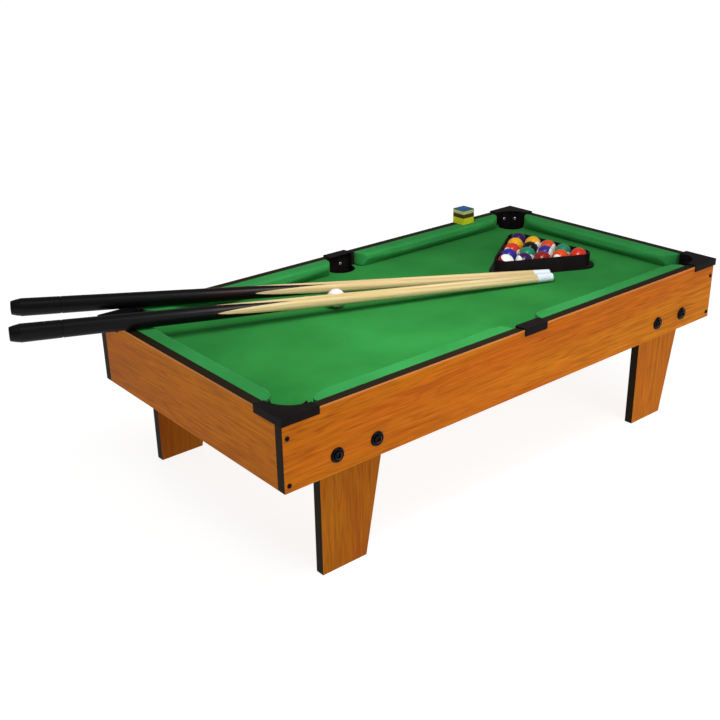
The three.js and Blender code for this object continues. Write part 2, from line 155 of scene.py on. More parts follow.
class Graph:
    """A Principled material and short ways to build its node graph."""

    def __init__(self, name):
        self.material = bpy.data.materials.new(name)
        self.material.use_nodes = True
        self.nodes = self.material.node_tree.nodes
        self.links = self.material.node_tree.links
        self.shader = self.nodes["Principled BSDF"]

    def set(self, **values):
        for name, value in values.items():
            self.shader.inputs[name.replace("_", " ")].default_value = value
        return self

    def feed(self, socket, output):
        self.links.new(output, self.shader.inputs[socket])

    def node(self, kind, inputs=None, **settings):
        made = self.nodes.new("ShaderNode" + kind)
        for key, value in settings.items():
            setattr(made, key, value)
        for key, value in (inputs or {}).items():
            self.put(made.inputs[key], value)
        return made

    def put(self, socket, value):
        if isinstance(value, bpy.types.NodeSocket):
            self.links.new(value, socket)
        else:
            socket.default_value = value

    def place(self):
        return self.node("TexCoord").outputs["Object"]

    def stretched(self, scales):
        made = self.node("Mapping", {"Vector": self.place(), "Scale": scales})
        return made.outputs["Vector"]

    def noise(self, vector, scale=1.0, detail=3.0, roughness=0.5, distortion=0.0):
        made = self.node("TexNoise", {"Vector": vector, "Scale": scale, "Detail": detail,
                                      "Roughness": roughness, "Distortion": distortion})
        return made.outputs["Fac"]

    def ramp(self, value, start, end, tones):
        """Fades between two colours or greys as the value goes from start to end."""
        made = self.node("ValToRGB", {"Fac": value})
        for element, position, tone in zip(made.color_ramp.elements, (start, end), tones):
            element.position = position
            rgb = tone if isinstance(tone, tuple) else (tone,) * 3
            element.color = (*rgb, 1)
        return made.outputs["Color"]

    def mix(self, factor, a, b, blend="MIX"):
        made = self.node("Mix", data_type="RGBA", blend_type=blend)
        self.put(made.inputs[MIX_FACTOR], factor)
        for index, value in ((MIX_A, a), (MIX_B, b)):
            self.put(made.inputs[index], (*value, 1) if isinstance(value, tuple) else value)
        return made.outputs[MIX_RESULT]

    def math(self, operation, a, b=0.0):
        made = self.node("Math", operation=operation)
        self.put(made.inputs[0], a)
        self.put(made.inputs[1], b)
        return made.outputs[0]

    def split(self, vector):
        made = self.node("SeparateXYZ", {"Vector": vector})
        return made.outputs["X"], made.outputs["Y"], made.outputs["Z"]

    def normal(self):
        return self.split(self.node("NewGeometry").outputs["True Normal"])

    def bump(self, height, strength, distance):
        made = self.node("Bump", {"Height": height, "Strength": strength, "Distance": distance})
        self.feed("Normal", made.outputs["Normal"])

    def step(self, value, edge, width):
        """0 below the edge and 1 above it, over a narrow width."""
        made = self.node("MapRange", {"Value": value, "From Min": edge - width, "From Max": edge + width},
                         interpolation_type="SMOOTHSTEP")
        return made.outputs["Result"]


def shade(colour, factor):
    return tuple(channel * factor for channel in colour)


def stretch(axis, across, along):
    """Noise scales, per metre, for a pattern drawn out along one axis."""
    scales = [across] * 3
    scales[axis] = along
    return scales


# ---------------------------------------------------------------- materials

# Pairs are a material's darker and lighter tones.
CHERRY_DARK = (0.22, 0.034, 0.001)
CHERRY_BLUSH = (0.44, 0.086, 0.006)
CHERRY = ((0.43, 0.115, 0.004), (0.52, 0.160, 0.006))
# A paler cherry, the painted highlight along the boards' top edges.
CHERRY_EDGE_HIGHLIGHT = (0.66, 0.30, 0.12)
# Each leg's cherry darkened by a factor: painted shade for how differently the legs are lit.
LEG_PAINTED_SHADE = {"near_left_leg": 0.66, "near_right_leg": 0.96, "far_left_leg": 0.52, "far_right_leg": 0.85}
FIGURE_ACROSS, FIGURE_ALONG = 30.0, 2.6
FIBRE_ACROSS, FIBRE_ALONG = 420.0, 15.0
PORES_TO_FIBRE = 2.1         # how much finer the pores are
RINGS = 74.0                 # radians of the rings' wave over the figure's whole range
EDGE_HIGHLIGHT_DEPTH = 2.2 * MM      # painted highlight: the paler strip along the top edges
EDGE_BLACK = (0.015, 0.010, 0.005)
PLASTIC_BLACK = (0.0050, 0.0036, 0.0038)
BED_FELT = ((0.018, 0.165, 0.030), (0.027, 0.235, 0.045))
# The cushions' baize is the bed's baize made lighter, as painted light on the cushions.
CUSHION_FELT_PAINTED_LIGHTER = ((0.024, 0.200, 0.044), (0.033, 0.265, 0.064))
SHEEN_GREEN = (0.35, 0.8, 0.4, 1)
FIBREBOARD = ((0.20, 0.11, 0.05), (0.36, 0.22, 0.11))
PINE = ((0.42, 0.25, 0.11), (0.66, 0.46, 0.24))
BLACK_STEEL = (0.006, 0.005, 0.006)
BRIGHT_STEEL = (0.42, 0.42, 0.43)
STEEL_ROUGHNESS = 0.30
BALL_WHITE = ((0.78, 0.76, 0.70), (0.87, 0.86, 0.81))
NUMBER_INK = ((0.008, 0.008, 0.009), (0.02, 0.02, 0.022))
MAPLE = ((0.46, 0.32, 0.13), (0.67, 0.53, 0.29))
BUTT_STAIN = ((0.004, 0.002, 0.002), (0.012, 0.004, 0.004))
BUTT_WRAP = (0.0028, 0.0026, 0.0030)
FERRULE_WHITE = ((0.60, 0.66, 0.72), (0.70, 0.76, 0.82))
TIP_LEATHER = ((0.26, 0.32, 0.40), (0.36, 0.42, 0.50))
CHALK_BLUE = ((0.012, 0.085, 0.24), (0.035, 0.17, 0.40))
PAPER_LIME = ((0.40, 0.45, 0.008), (0.56, 0.60, 0.02))
PAPER_PALE = ((0.34, 0.38, 0.15), (0.46, 0.50, 0.22))
PAPER_DARK = ((0.035, 0.025, 0.004), (0.07, 0.05, 0.008))
FLOOR_GREY = (0.34, 0.36)


def cherry_print(g, grain_axis, tone, fibre):
    """The laminate's printed wood: clouds, redder patches, rings, fibre and dark pores."""

    def figure(finer, **settings):
        scales = stretch(grain_axis, FIGURE_ACROSS * finer, FIGURE_ALONG * finer)
        return g.noise(g.stretched(scales), **settings)

    rings = g.math("SINE", g.math("MULTIPLY", figure(1.0, detail=2.0, distortion=0.3), RINGS))
    pore_scales = stretch(grain_axis, FIBRE_ACROSS * PORES_TO_FIBRE, FIBRE_ALONG * PORES_TO_FIBRE)
    pores = g.noise(g.stretched(pore_scales), detail=1.0)
    blush = figure(0.5, roughness=0.6, distortion=0.8)
    wood = g.ramp(figure(0.35), 0.30, 0.64, CHERRY)
    wood = g.mix(g.ramp(blush, 0.48, 0.68, (0.0, 0.6)), wood, CHERRY_BLUSH)
    # Multiplies in the tone, a painted shade factor that darkens some legs.
    wood = g.mix(1.0, wood, (tone, tone, tone), "MULTIPLY")
    wood = g.mix(g.ramp(rings, 0.2, 1.0, (0.0, 0.24)), wood, CHERRY_DARK)
    wood = g.mix(0.40, wood, g.ramp(fibre, 0.25, 0.75, (0.26, 0.80)), "OVERLAY")
    return g.mix(g.ramp(pores, 0.56, 0.76, (0.0, 0.6)), wood, CHERRY_DARK)


def laminated(g, face_axis, at):
    """1 on a board's faces across an axis, but 0 on its edges and on its inside above the bed."""
    across = g.normal()[face_axis]
    side = g.math("SIGN", g.math("SUBTRACT", at[face_axis], CENTRE[face_axis]))
    inner = g.math("SUBTRACT", g.math("ABSOLUTE", across), g.step(at[2], BED - 1.0 * MM, 0.5 * MM))
    return g.step(g.math("MAXIMUM", g.math("MULTIPLY", across, side), inner), 0.6, 0.05)


def cherry(name, grain_axis, face_axis, tone=1.0):
    """Cherry laminate with its grain along one axis and its faces across another. The tone darkens it all,
    as painted shade.
    """
    g = Graph(name).set(Specular_IOR_Level=0.03)
    at = g.split(g.place())
    fibre = g.noise(g.stretched(stretch(grain_axis, FIBRE_ACROSS, FIBRE_ALONG)), detail=2.0, roughness=0.6)
    wood = cherry_print(g, grain_axis, tone, fibre)
    # Painted highlight: a paler strip along the top edges, standing in for light caught by the rounded
    # edge.
    painted_highlight = g.math("MULTIPLY", g.step(at[2], TOP - EDGE_HIGHLIGHT_DEPTH, 0.8 * MM), 0.42)
    wood = g.mix(painted_highlight, wood, CHERRY_EDGE_HIGHLIGHT)
    g.feed("Base Color", g.mix(laminated(g, face_axis, at), EDGE_BLACK, wood))
    g.feed("Roughness", g.ramp(fibre, 0.2, 0.8, (0.40, 0.52)))
    g.bump(fibre, strength=0.12, distance=0.05 * MM)
    return g.material


def felt_green(g, tones):
    """Gives a graph the feel of baize, and returns the baize's colour and its nap."""
    at = g.place()
    cloud = g.noise(at, 9.0)
    nap = g.noise(at, 900.0, roughness=0.7)
    fibre = g.noise(g.stretched(stretch(1, 1900.0, 900.0)), detail=2.0, roughness=0.6)
    green = g.ramp(cloud, 0.3, 0.68, tones)
    green = g.mix(0.3, green, g.ramp(nap, 0.3, 0.7, (0.32, 0.7)), "OVERLAY")
    green = g.mix(0.2, green, g.ramp(fibre, 0.3, 0.7, (0.25, 0.75)), "OVERLAY")
    g.set(Sheen_Weight=0.05, Sheen_Roughness=0.5, Sheen_Tint=SHEEN_GREEN, Specular_IOR_Level=0.02)
    g.feed("Roughness", g.ramp(nap, 0.2, 0.8, (0.84, 0.98)))
    g.bump(g.math("ADD", nap, fibre), strength=0.5, distance=0.18 * MM)
    return green, nap


def cushion_material():
    g = Graph("cushion_felt")
    # Lighter than the bed's baize: painted light on the cushions.
    green, _ = felt_green(g, CUSHION_FELT_PAINTED_LIGHTER)
    g.feed("Base Color", green)
    return g.material


def bed_material():
    """Felt on top, and bare fibreboard on the edges and underneath."""
    g = Graph("bed_felt_over_fibreboard")
    green, nap = felt_green(g, BED_FELT)
    brown = g.ramp(nap, 0.3, 0.75, FIBREBOARD)
    _, _, up = g.normal()
    g.feed("Base Color", g.mix(g.step(up, 0.25, 0.1), brown, green))
    return g.material


def black_plastic(name, roughness, grain):
    g = Graph(name).set(Specular_IOR_Level=0.03)
    fine = g.noise(g.place(), grain, detail=2.0, roughness=0.6)
    broad = g.noise(g.place(), 40.0)
    g.feed("Base Color", g.ramp(broad, 0.3, 0.75, (PLASTIC_BLACK, shade(PLASTIC_BLACK, 1.9))))
    g.feed("Roughness", g.ramp(broad, 0.25, 0.75, (roughness - 0.07, roughness + 0.08)))
    g.bump(fine, strength=0.25, distance=0.04 * MM)
    return g.material


def steel(name, colour):
    g = Graph(name).set(Metallic=0.85, Specular_IOR_Level=0.15)
    mottle = g.noise(g.place(), 700.0)
    g.feed("Base Color", g.ramp(mottle, 0.3, 0.8, (colour, shade(colour, 1.5))))
    g.feed("Roughness", g.ramp(mottle, 0.2, 0.8, (STEEL_ROUGHNESS - 0.05, STEEL_ROUGHNESS + 0.12)))
    g.bump(mottle, strength=0.08, distance=0.03 * MM)
    return g.material


def bare_wood():
    g = Graph("bare_pine").set(Specular_IOR_Level=0.3)
    rings = g.noise(g.stretched(stretch(1, 120.0, 4.0)), detail=4.0, roughness=0.6, distortion=0.6)
    g.feed("Base Color", g.ramp(rings, 0.35, 0.65, PINE))
    g.feed("Roughness", g.ramp(rings, 0.3, 0.7, (0.6, 0.82)))
    g.bump(rings, strength=0.2, distance=0.2 * MM)
    return g.material


# ---------------------------------------------------------------- mesh helpers

TOLERANCE = 0.01 * MM
FLAT_WITHIN = 0.5            # degrees; CAD triangles that meet flatter than this become one face
SMOOTH_WITHIN = 35           # degrees


def new_piece(name, mesh, body, materials, place=None):
    piece = add_object(name, mesh)
    for material in materials:
        mesh.materials.append(material)
    if place is not None:
        piece.matrix_world = place
    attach(piece, body)
    return piece


def smooth(mesh):
    for polygon in mesh.polygons:
        polygon.use_smooth = True


def mesh_of(bm, name, smooth_within=SMOOTH_WITHIN):
    mesh = bpy.data.meshes.new(name)
    bm.to_mesh(mesh)
    bm.free()
    smooth(mesh)
    mesh.set_sharp_from_angle(angle=math.radians(smooth_within))
    return mesh


def evaluated_mesh(thing):
    bpy.context.view_layer.update()
    return bpy.data.meshes.new_from_object(thing.evaluated_get(bpy.context.evaluated_depsgraph_get()))


def absorb(whole, part):
    """Adds one bmesh to another and frees it."""
    temporary = bpy.data.meshes.new("temporary")
    part.to_mesh(temporary)
    part.free()
    whole.from_mesh(temporary)
    bpy.data.meshes.remove(temporary)


def welded(node):
    """A CAD node's triangles as one skin."""
    bm = bmesh.new()
    bm.from_mesh(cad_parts[node].data)
    bmesh.ops.remove_doubles(bm, verts=bm.verts, dist=TOLERANCE)
    return bm


def round_edges(piece, width, segments, sharper_than):
    """Bevels the edges that turn by more than an angle in degrees."""
    rounding = piece.modifiers.new("rounded_edges", "BEVEL")
    rounding.width = width
    rounding.segments = segments
    rounding.limit_method = "ANGLE"
    rounding.angle_limit = math.radians(sharper_than)
    return rounding


def refined(node, material, bevel):
    """A clean copy of a CAD node with rounded edges, standing in for it."""
    bm = welded(node)
    bmesh.ops.dissolve_limit(bm, angle_limit=math.radians(FLAT_WITHIN), verts=bm.verts, edges=bm.edges)
    bmesh.ops.recalc_face_normals(bm, faces=bm.faces)
    name = node + "_finished"
    piece = new_piece(name, mesh_of(bm, name), "table", [material])
    round_edges(piece, bevel, segments=3, sharper_than=40).harden_normals = True
    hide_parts(node)


def turned(profile, segments):
    """A bmesh turned about Z from (radius, z) pairs that start and end on the axis."""
    bm = bmesh.new()
    turn = [2 * math.pi * i / segments for i in range(segments)]
    rings = []
    for radius, z in profile:
        if radius == 0:
            rings.append([bm.verts.new((0, 0, z))])
        else:
            rings.append([bm.verts.new((radius * math.cos(a), radius * math.sin(a), z)) for a in turn])
    for low, high in zip(rings, rings[1:]):
        for i in range(segments):
            j = (i + 1) % segments
            corners = [low[i % len(low)], low[j % len(low)], high[j % len(high)], high[i % len(high)]]
            unique = list(dict.fromkeys(corners))
            if len(unique) > 2:
                bm.faces.new(unique)
    bmesh.ops.recalc_face_normals(bm, faces=bm.faces)
    return bm


def looped(rows):
    """A bmesh through closed rows of points, each joined to the next and the last to the first."""
    bm = bmesh.new()
    rings = [[bm.verts.new(point) for point in row] for row in rows]
    for ring, following in zip(rings, rings[1:] + rings[:1]):
        for i in range(len(ring)):
            j = (i + 1) % len(ring)
            bm.faces.new((ring[i], ring[j], following[j], following[i]))
    bmesh.ops.recalc_face_normals(bm, faces=bm.faces)
    return bm


def in_mm(*pairs):
    """Pairs of millimetres as pairs of metres."""
    return [(first * MM, second * MM) for first, second in pairs]


def facing(point, outward):
    """A frame at a point with its Z along outward."""
    return Matrix.Translation(point) @ outward.to_track_quat("Z", "Y").to_matrix().to_4x4()


# ---------------------------------------------------------------- boards, legs, bed, mouldings

BOARD_ROUND = 0.5 * MM
BATTEN_ROUND = 0.6 * MM
BED_ROUND = 0.7 * MM
MOULDING_ROUND = 0.35 * MM


def make_woodwork():
    along_x = cherry("cherry_grain_along_x", grain_axis=0, face_axis=1)
    along_y = cherry("cherry_grain_along_y", grain_axis=1, face_axis=0)
    pine = bare_wood()
    for side, _ in SIDES:
        refined(f"{side}_side_board", along_x, BOARD_ROUND)
        for end, _ in ENDS:
            leg = f"{side}_{end}_leg"
            upright = cherry(f"cherry_of_{leg}", grain_axis=2, face_axis=1, tone=LEG_PAINTED_SHADE[leg])
            refined(leg, upright, BOARD_ROUND)
    for end, _ in ENDS:
        refined(f"{end}_end_board", along_y, BOARD_ROUND)
        refined(f"{end}_bed_batten", pine, BATTEN_ROUND)
    refined("playing_bed", bed_material(), BED_ROUND)


def make_mouldings():
    plastic = black_plastic("moulded_black_plastic", roughness=0.45, grain=1500.0)
    for side, _ in SIDES:
        refined(f"{side}_side_pocket", plastic, MOULDING_ROUND)
        for end, _ in ENDS:
            refined(f"{side}_{end}_corner_pocket", plastic, MOULDING_ROUND)


# ---------------------------------------------------------------- rack

RACK_CLEARANCE = 0.9 * MM
RACK_WALL = 3 * MM
RACK_FLANGE = 7 * MM
RACK_FLANGE_HEIGHT = 2.2 * MM
RACK_ROUND = 0.7 * MM
RACK_EASE = 0.3 * RACK_ROUND    # from a sharp corner to the middle of its rounding, along each side
RACK_CORNER_STEPS = 14
UP, DOWN, OUT = (0, 1), (0, -1), (1, 0)    # ways round the rack's section, as (radius, z)


def rack_corners():
    """The middles of the three balls that stand in the rack's corners, anticlockwise."""
    middles = []
    for number in range(1, 16):
        low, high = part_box(f"ball_{number}")
        middles.append((low + high) / 2)
    heart = sum(middles, Vector()) / len(middles)
    outermost = sorted(middles, key=lambda m: (m - heart).xy.length)[-3:]
    return sorted(outermost, key=lambda m: math.atan2(m.y - heart.y, m.x - heart.x))


def rounded_triangle(corners, radius):
    """Points round three corners at a radius, joined by straight sides."""
    points = []
    for i, corner in enumerate(corners):
        incoming = (corner - corners[i - 1]).xy
        outgoing = (corners[(i + 1) % 3] - corner).xy
        start = math.atan2(incoming.y, incoming.x) - math.pi / 2
        sweep = (math.atan2(outgoing.y, outgoing.x) - math.pi / 2 - start) % (2 * math.pi)
        for k in range(RACK_CORNER_STEPS + 1):
            a = start + sweep * k / RACK_CORNER_STEPS
            points.append((corner.x + radius * math.cos(a), corner.y + radius * math.sin(a)))
    return points


def eased(radius, z, way_in, way_out):
    """Three points that round a corner of the rack's section."""
    return [
        (radius - RACK_ROUND * way_in[0], z - RACK_ROUND * way_in[1]),
        (radius + RACK_EASE * (way_out[0] - way_in[0]), z + RACK_EASE * (way_out[1] - way_in[1])),
        (radius + RACK_ROUND * way_out[0], z + RACK_ROUND * way_out[1]),
    ]


def rack_mesh(name):
    """A triangular wall with rounded corners and a low flange outside it."""
    low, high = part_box("triangle_rack")
    ball_low, ball_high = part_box("ball_1")
    inner = (ball_high.z - ball_low.z) / 2 + RACK_CLEARANCE
    outer = inner + RACK_WALL
    rim = outer + RACK_FLANGE
    flange = low.z + RACK_FLANGE_HEIGHT
    section = [
        (inner, low.z), *eased(inner, high.z, UP, OUT), *eased(outer, high.z, OUT, DOWN),
        *eased(outer, flange, DOWN, OUT), *eased(rim, flange, OUT, DOWN), (rim, low.z),
    ]
    corners = rack_corners()
    rows = [[(x, y, z) for x, y in rounded_triangle(corners, radius)] for radius, z in section]
    return mesh_of(looped(rows), name, smooth_within=50)


def make_rack():
    material = black_plastic("rack_plastic", roughness=0.34, grain=900.0)
    name = "triangle_rack_moulded"
    piece = new_piece(name, rack_mesh(name), "triangle_rack", [material])
    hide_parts("triangle_rack")


# ---------------------------------------------------------------- screws, bolts and nuts

HEAD_RINGS = 16
HEAD_SPOKES = 48
DOME_REACH = 0.92            # 1 would bring a head's dome down to nothing at its rim
DOME_POWER = 2.6
SLOT_WIDTH = 0.22            # a cross slot's half width, as a part of its half length
HEAD_GAP = 0.3 * MM          # between a side board and the foot of a head
NUT_SEGMENTS = 36
NUT_BORE = 3.1 * MM
NUT_GAP = 0.1 * MM           # between a leg and its nuts
LINER_RADIUS = 21.3 * MM     # a corner pocket liner's outside
LINER_WALL = 1.9 * MM
POCKET_SCREW_DROP = 12 * MM  # below the boards' tops
END_SCREW_TURN = 25          # degrees round the liner towards the corner, from the end wall
LONG_SCREW_TURN = 12         # and from the long wall
SIDE_LINER_DEPTH = 7 * MM    # how far a side liner reaches into its board
SIDE_SCREW_SHIFT = 5 * MM    # off the middle of a side liner
SIDE_SCREW_DROP = 15 * MM


def recessed_head(radius, height, recess):
    """A low domed head on z = 0, with a sunk drive shape given by recess(x, y) -> depth."""
    bm = bmesh.new()
    previous = [bm.verts.new((0, 0, height - recess(0, 0)))]
    for i in range(1, HEAD_RINGS + 1):
        r = radius * i / HEAD_RINGS
        dome = height * math.sqrt(1 - (DOME_REACH * r / radius) ** DOME_POWER)
        ring = []
        for k in range(HEAD_SPOKES):
            a = 2 * math.pi * k / HEAD_SPOKES
            x, y = r * math.cos(a), r * math.sin(a)
            ring.append(bm.verts.new((x, y, dome - recess(x, y))))
        for k in range(HEAD_SPOKES):
            j = (k + 1) % HEAD_SPOKES
            corners = [previous[k % len(previous)], ring[k], ring[j], previous[j % len(previous)]]
            bm.faces.new(list(dict.fromkeys(corners)))
        previous = ring
    base = [bm.verts.new((v.co.x, v.co.y, 0)) for v in previous]
    for k in range(HEAD_SPOKES):
        j = (k + 1) % HEAD_SPOKES
        bm.faces.new((previous[k], base[k], base[j], previous[j]))
    bm.faces.new(base)
    bmesh.ops.recalc_face_normals(bm, faces=bm.faces)
    return bm


def cross_recess(reach, depth):
    def sunk(x, y):
        u, v = sorted((abs(x), abs(y)))
        return depth if u < reach * SLOT_WIDTH and v < reach else 0.0
    return sunk


def hex_recess(across, depth):
    def sunk(x, y):
        furthest = max(abs(x * math.cos(a) + y * math.sin(a)) for a in (0, math.pi / 3, 2 * math.pi / 3))
        return depth if furthest < across / 2 else 0.0
    return sunk


def headed(name, body, head, head_height=0.0):
    """A fastener's mesh: its body, and its head standing at a height on it."""
    head.transform(Matrix.Translation((0, 0, head_height)))
    whole = bmesh.new()
    absorb(whole, body)
    absorb(whole, head)
    return mesh_of(whole, name)


def leg_bolt_mesh(name):
    """A bolt with a wide dished washer and a hexagon socket."""
    washer = turned(in_mm((0, -31), (3, -31), (3, 0), (9, 0), (8.9, 0.8), (8.2, 1.7), (7.3, 2.2),
                          (6.4, 1.9), (5.6, 1.2), (0, 1.2)), segments=48)
    head = recessed_head(5.3 * MM, 2.4 * MM, hex_recess(4.6 * MM, 1.5 * MM))
    return headed(name, washer, head, 1.2 * MM)


def corner_screw_mesh(name):
    shank = turned(in_mm((0, -34), (1.6, -30), (1.6, 0), (0, 0)), segments=20)
    return headed(name, shank, recessed_head(2.8 * MM, 1.3 * MM, cross_recess(1.5 * MM, 0.7 * MM)))


def hexagon(angle):
    """A hexagon's reach at an angle, as a part of its reach at the corners."""
    return math.cos(math.pi / 6) / math.cos(angle % (math.pi / 3) - math.pi / 6)


def nut_mesh(name):
    """A hexagon nut, its seat on z = 0 and the bore open for the bolt's end."""
    outside = in_mm((5.4, 0), (5.8, 0.4), (5.8, 3.2), (5.2, 4.0))
    rows = []
    for radius, z in ((NUT_BORE, 0), *outside, (NUT_BORE, outside[-1][1])):
        row = []
        for i in range(NUT_SEGMENTS):
            a = 2 * math.pi * i / NUT_SEGMENTS
            r = radius * (hexagon(a) if radius > NUT_BORE else 1.0)
            row.append((r * math.cos(a), r * math.sin(a), z))
        rows.append(row)
    return mesh_of(looped(rows), name, smooth_within=25)


def add_fastener(node, mesh, outward, material):
    """Stands in for a bolt or screw of a side board, and returns where its head sits."""
    low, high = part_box(node)
    seat = (low + high) / 2
    seat.y = CENTRE.y + outward.y * (HALF_WIDTH + HEAD_GAP)
    piece = new_piece(node + "_finished", mesh, "table", [material], facing(seat, outward))
    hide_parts(node)
    return seat


def add_nut(bolt, leg, seat, outward, material):
    """A nut on the end of a bolt, against the inside of the leg."""
    leg_low, leg_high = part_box(leg)
    inner = leg_low.y if outward.y > 0 else leg_high.y
    place = facing(Vector((seat.x, inner - outward.y * NUT_GAP, seat.z)), -outward)
    new_piece(bolt + "_nut", nut_mesh(bolt + "_nut"), "table", [material], place)


def make_fasteners():
    black = steel("black_coated_steel", BLACK_STEEL)
    bright = steel("bright_steel", BRIGHT_STEEL)
    for side, sign in SIDES:
        outward = Vector((0, sign, 0))
        for end, _ in ENDS:
            leg = f"{side}_{end}_leg"
            for bolt in (f"{leg}_bolt_1", f"{leg}_bolt_2"):
                seat = add_fastener(bolt, leg_bolt_mesh(bolt), outward, black)
                add_nut(bolt, leg, seat, outward, bright)
            for screw in (f"{side}_{end}_corner_screw_1", f"{side}_{end}_corner_screw_2"):
                add_fastener(screw, corner_screw_mesh(screw), outward, black)
    make_pocket_screws(bright)


def make_pocket_screws(material):
    """Two screws in each corner liner and one in each side liner, just below the boards' tops."""
    inside = LINER_RADIUS - LINER_WALL
    for side, sy in SIDES:
        for end, sx in ENDS:
            middle = Vector((
                CENTRE.x + sx * (INNER_X - LINER_RADIUS),
                CENTRE.y + sy * (INNER_Y - LINER_RADIUS),
                TOP - POCKET_SCREW_DROP,
            ))
            for number, turn in ((1, END_SCREW_TURN), (2, 90 - LONG_SCREW_TURN)):
                a = math.radians(turn)
                outward = Vector((sx * math.cos(a), sy * math.sin(a), 0))
                name = f"{side}_{end}_pocket_screw_{number}"
                add_pocket_screw(name, middle + outward * inside, -outward, material)
        back = INNER_Y + SIDE_LINER_DEPTH - LINER_WALL
        point = Vector((CENTRE.x + sy * SIDE_SCREW_SHIFT, CENTRE.y + sy * back, TOP - SIDE_SCREW_DROP))
        add_pocket_screw(f"{side}_side_pocket_screw", point, Vector((0, -sy, 0)), material)


def add_pocket_screw(name, point, outward, material):
    head = recessed_head(2.5 * MM, 1.1 * MM, cross_recess(1.4 * MM, 0.6 * MM))
    new_piece(name, mesh_of(head, name), "table", [material], facing(point, outward))


# ---------------------------------------------------------------- cushions

CUSHION_VOXEL = 2.0 * MM
CUSHION_SHRINK = 0.5 * MM
CUSHION_CAP = 1.3 * MM       # the furthest that stuffing moves the skin
STUFFING_PRESSURE = 4.0
STUFFING_QUALITY = 6
STUFFING_FRAMES = 15
GLUED = 1.2 * MM             # depth of the pinned skin next to the board and the bed
SEAT = 3.2 * MM              # how far from the board the skin is drawn back hard against it
CROWN_START = 17 * MM        # from here to the nose the top may round over


def remeshed(node):
    """A new object with an even, closed mesh of a CAD cushion."""
    mesh = bpy.data.meshes.new(node + "_padding")
    bm = welded(node)
    bm.to_mesh(mesh)
    bm.free()
    pad = add_object(node + "_padding", mesh)
    remesh = pad.modifiers.new("even_skin", "REMESH")
    remesh.mode = "VOXEL"
    remesh.voxel_size = CUSHION_VOXEL
    relax = pad.modifiers.new("relax", "SMOOTH")
    relax.factor = 0.5
    relax.iterations = 3
    apply_modifiers(pad)
    return pad


def apply_modifiers(pad):
    mesh = evaluated_mesh(pad)
    old = pad.data
    pad.modifiers.clear()
    pad.data = mesh
    bpy.data.meshes.remove(old)


def drawn_in(pad):
    """Makes room for the swelling."""
    for vertex, normal in [(v, v.normal.copy()) for v in pad.data.vertices]:
        vertex.co -= normal * CUSHION_SHRINK


def swell(pad, low, depth_of):
    """Blows the pad up like stuffed cloth. The skin glued to the board and the bed stays put."""
    start = [v.co.copy() for v in pad.data.vertices]
    pinned = [i for i, co in enumerate(start) if depth_of(co) < GLUED or co.z - low.z < GLUED]
    group = pad.vertex_groups.new(name="glued")
    group.add(pinned, 1.0, "REPLACE")
    cloth = pad.modifiers.new("stuffing", "CLOTH")
    cloth.settings.use_pressure = True
    cloth.settings.uniform_pressure_force = STUFFING_PRESSURE
    cloth.settings.effector_weights.gravity = 0.0
    cloth.settings.vertex_group_mass = "glued"
    cloth.settings.quality = STUFFING_QUALITY
    scene = bpy.context.scene
    for frame_number in range(1, STUFFING_FRAMES + 1):
        scene.frame_set(frame_number)
    apply_modifiers(pad)
    for vertex, old in zip(pad.data.vertices, start):
        move = vertex.co - old
        if move.length > CUSHION_CAP:
            vertex.co = old + move.normalized() * CUSHION_CAP
    scene.frame_set(1)


def seated(pad, low, high, axis, wall, depth_of):
    """Draws the skin back against the board, level with its top, and down onto the bed."""
    for vertex in pad.data.vertices:
        co = vertex.co
        depth = depth_of(co)
        if depth < SEAT:
            co[axis] = wall
        if depth < CROWN_START and high.z - co.z < SEAT:
            co.z = high.z
        if co.z - low.z < SEAT / 2:
            co.z = low.z
        co.z = min(max(co.z, low.z), high.z)


def padded_cushion(node, axis):
    """The padded mesh of a near or left cushion, which swells along an axis away from its board."""
    low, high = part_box(node)
    wall = low[axis]

    def depth_of(co):
        return co[axis] - wall

    pad = remeshed(node)
    drawn_in(pad)
    swell(pad, low, depth_of)
    seated(pad, low, high, axis, wall, depth_of)
    mesh = pad.data
    smooth(mesh)
    bpy.data.objects.remove(pad)
    return mesh


def moved(mesh, name, matrix):
    copy = mesh.copy()
    copy.name = name
    copy.transform(matrix)
    if matrix.determinant() < 0:
        copy.flip_normals()
    return copy


def about_centre(sx, sy):
    """Mirrors or turns the table's plan about its centre."""
    return Matrix.Translation(CENTRE) @ Matrix.Diagonal((sx, sy, 1, 1)) @ Matrix.Translation(-CENTRE)


def add_cushion(node, mesh, material):
    piece = new_piece(node + "_padded", mesh, "table", [material])
    finer = piece.modifiers.new("fine_skin", "SUBSURF")
    finer.levels = 1
    finer.render_levels = 1
    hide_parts(node)


def make_cushions():
    material = cushion_material()
    long_pad = padded_cushion("near_left_cushion", axis=1)
    end_pad = padded_cushion("left_end_cushion", axis=0)
    for side, sy in SIDES:
        for end, sx in ENDS:
            node = f"{side}_{end}_cushion"
            add_cushion(node, moved(long_pad, node, about_centre(-sx, -sy)), material)
    for end, sx in ENDS:
        node = f"{end}_end_cushion"
        add_cushion(node, moved(end_pad, node, about_centre(-sx, 1)), material)


# ---------------------------------------------------------------- balls

PURPLE = (0.028, 0.006, 0.062)
YELLOW = (0.78, 0.36, 0.006)
RED = (0.60, 0.028, 0.008)
BLUE = (0.024, 0.020, 0.25)
MAROON = (0.24, 0.008, 0.008)
BLACK = (0.002, 0.0024, 0.0024)
CUE_BALL_WHITE = (0.80, 0.79, 0.76)
GREEN = (0.010, 0.20, 0.11)
ORANGE = (0.66, 0.060, 0.008)

